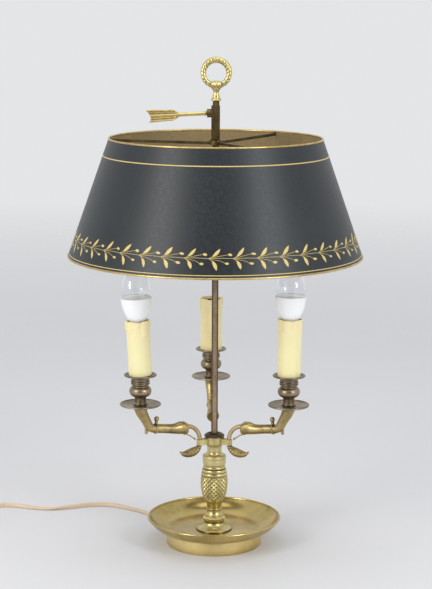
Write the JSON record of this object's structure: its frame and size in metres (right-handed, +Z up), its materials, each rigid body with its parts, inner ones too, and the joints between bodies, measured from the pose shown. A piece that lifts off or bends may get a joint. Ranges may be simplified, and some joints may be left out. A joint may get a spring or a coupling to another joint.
{
  "type": "bouillotte lamp",
  "caption": "Table lamp with a dish foot, a turned column, candle arms and a conical metal shade that slides on a square rod and is held by an arrow-shaped thumbscrew.",
  "frame": {"origin": "on the table, on the axis of the foot and column", "axes": "+Z up along the column and rod, -Y to the front, the arrow screw points to -X"},
  "size_m": [0.5395, 0.333, 0.5581],
  "materials": {
    "dish_brass": "polished, with brown reflections",
    "column_brass": "aged, olive in the hollows",
    "arm_brass": "aged, satin",
    "cup_brass": "dark antique",
    "rod_brass": "dark brown patina",
    "finial_brass": "bright, satin",
    "rim_gold": "gilded",
    "shade_paint": "blue-black paint with small scratches",
    "spider_brass": "dull",
    "arrow_brass": "satin",
    "screw_brass": "as turned",
    "stem_steel": "zinc plated",
    "ballast_iron": "rough",
    "felt": "felt",
    "relief_rubber": "matte",
    "flex": "soft satin",
    "sleeve_wax": "wax-like, satin",
    "holder_plastic": "matte",
    "bulb_white": "glossy",
    "bulb_glass": "clear",
    "cap_metal": "satin",
    "contact_brass": "satin",
    "lead": "matte",
    "switch_plastic": "satin",
    "plug_plastic": "satin",
    "pin_metal": "nickel plated"
  },
  "bodies": {
    "base": {"base_dish": "dish_brass", "foot_ring": "dish_brass", "ballast_weight": "ballast_iron", "base_felt": "felt", "cord_relief": "relief_rubber", "stem_tube": "stem_steel", "stem_nut": "stem_steel", "column_bell": "dish_brass", "milled_ring": "column_brass", "column_waist": "column_brass", "pineapple_body": "column_brass", "column_collar": "column_brass", "arm_hub": "column_brass", "rod_cap": "cup_brass", "main_rod": "rod_brass", "finial": "finial_brass", "inner_wiring": "lead", "flex_to_switch": "flex", "flex_to_coil": "flex", "flex_coil": "flex", "switch_base": "switch_plastic", "switch_cover": "switch_plastic", "plug_body": "plug_plastic", "plug_pins": "pin_metal", "arm_nipples": "stem_steel", "holder_contacts": "contact_brass", "arm_horn_left": "arm_brass", "arm_tube_left": "arm_brass", "arm_leaf_left": "arm_brass", "drip_pan_left": "cup_brass", "candle_cup_left": "cup_brass", "lamp_holder_left": "holder_plastic", "candle_sleeve_left": "sleeve_wax", "arm_horn_right": "arm_brass", "arm_tube_right": "arm_brass", "arm_leaf_right": "arm_brass", "drip_pan_right": "cup_brass", "candle_cup_right": "cup_brass", "lamp_holder_right": "holder_plastic", "candle_sleeve_right": "sleeve_wax", "arm_horn_back": "arm_brass", "arm_tube_back": "arm_brass", "arm_leaf_back": "arm_brass", "drip_pan_back": "cup_brass", "candle_cup_back": "cup_brass", "lamp_holder_back": "holder_plastic", "candle_sleeve_back": "sleeve_wax", "bulb_cap_left": "cap_metal", "bulb_body_left": "bulb_white", "bulb_globe_left": "bulb_glass", "bulb_cap_right": "cap_metal", "bulb_body_right": "bulb_white", "bulb_globe_right": "bulb_glass"},
    "shade": {"shade_shell": "shade_paint", "shade_rim_wires": "rim_gold", "shade_spider": "spider_brass", "shade_sleeve": "spider_brass"},
    "clamp": {"clamp_shoe": "screw_brass"},
    "arrow": {"arrow_screw": "arrow_brass"},
    "rocker": {"switch_rocker": "switch_plastic"}
  },
  "joints": [
    {"name": "shade_slide", "type": "slide", "parent": "base", "child": "shade", "axis": [0, 0, 1], "range_m": [-0.115, 0.005]},
    {"name": "clamp_slide", "type": "slide", "parent": "shade", "child": "clamp", "axis": [-0.9984, 0, -0.0558], "range_m": [0, 0.0003]},
    {"name": "arrow_turn", "type": "hinge", "parent": "clamp", "child": "arrow", "pos_m": [-0.00523, 0, 0.4961], "axis": [-0.9984, 0, -0.0558], "range_deg": [0, 135]},
    {"name": "rocker_tilt", "type": "hinge", "parent": "base", "child": "rocker", "pos_m": [-0.29104, 0.04903, 0.0106], "axis": [0.999, -0.0457, 0], "range_deg": [-16, 0]}
  ],
  "couplings": [
    {"joint": "arrow_turn", "follows": "clamp_slide", "rad_per_m": 7853.9}
  ]
}
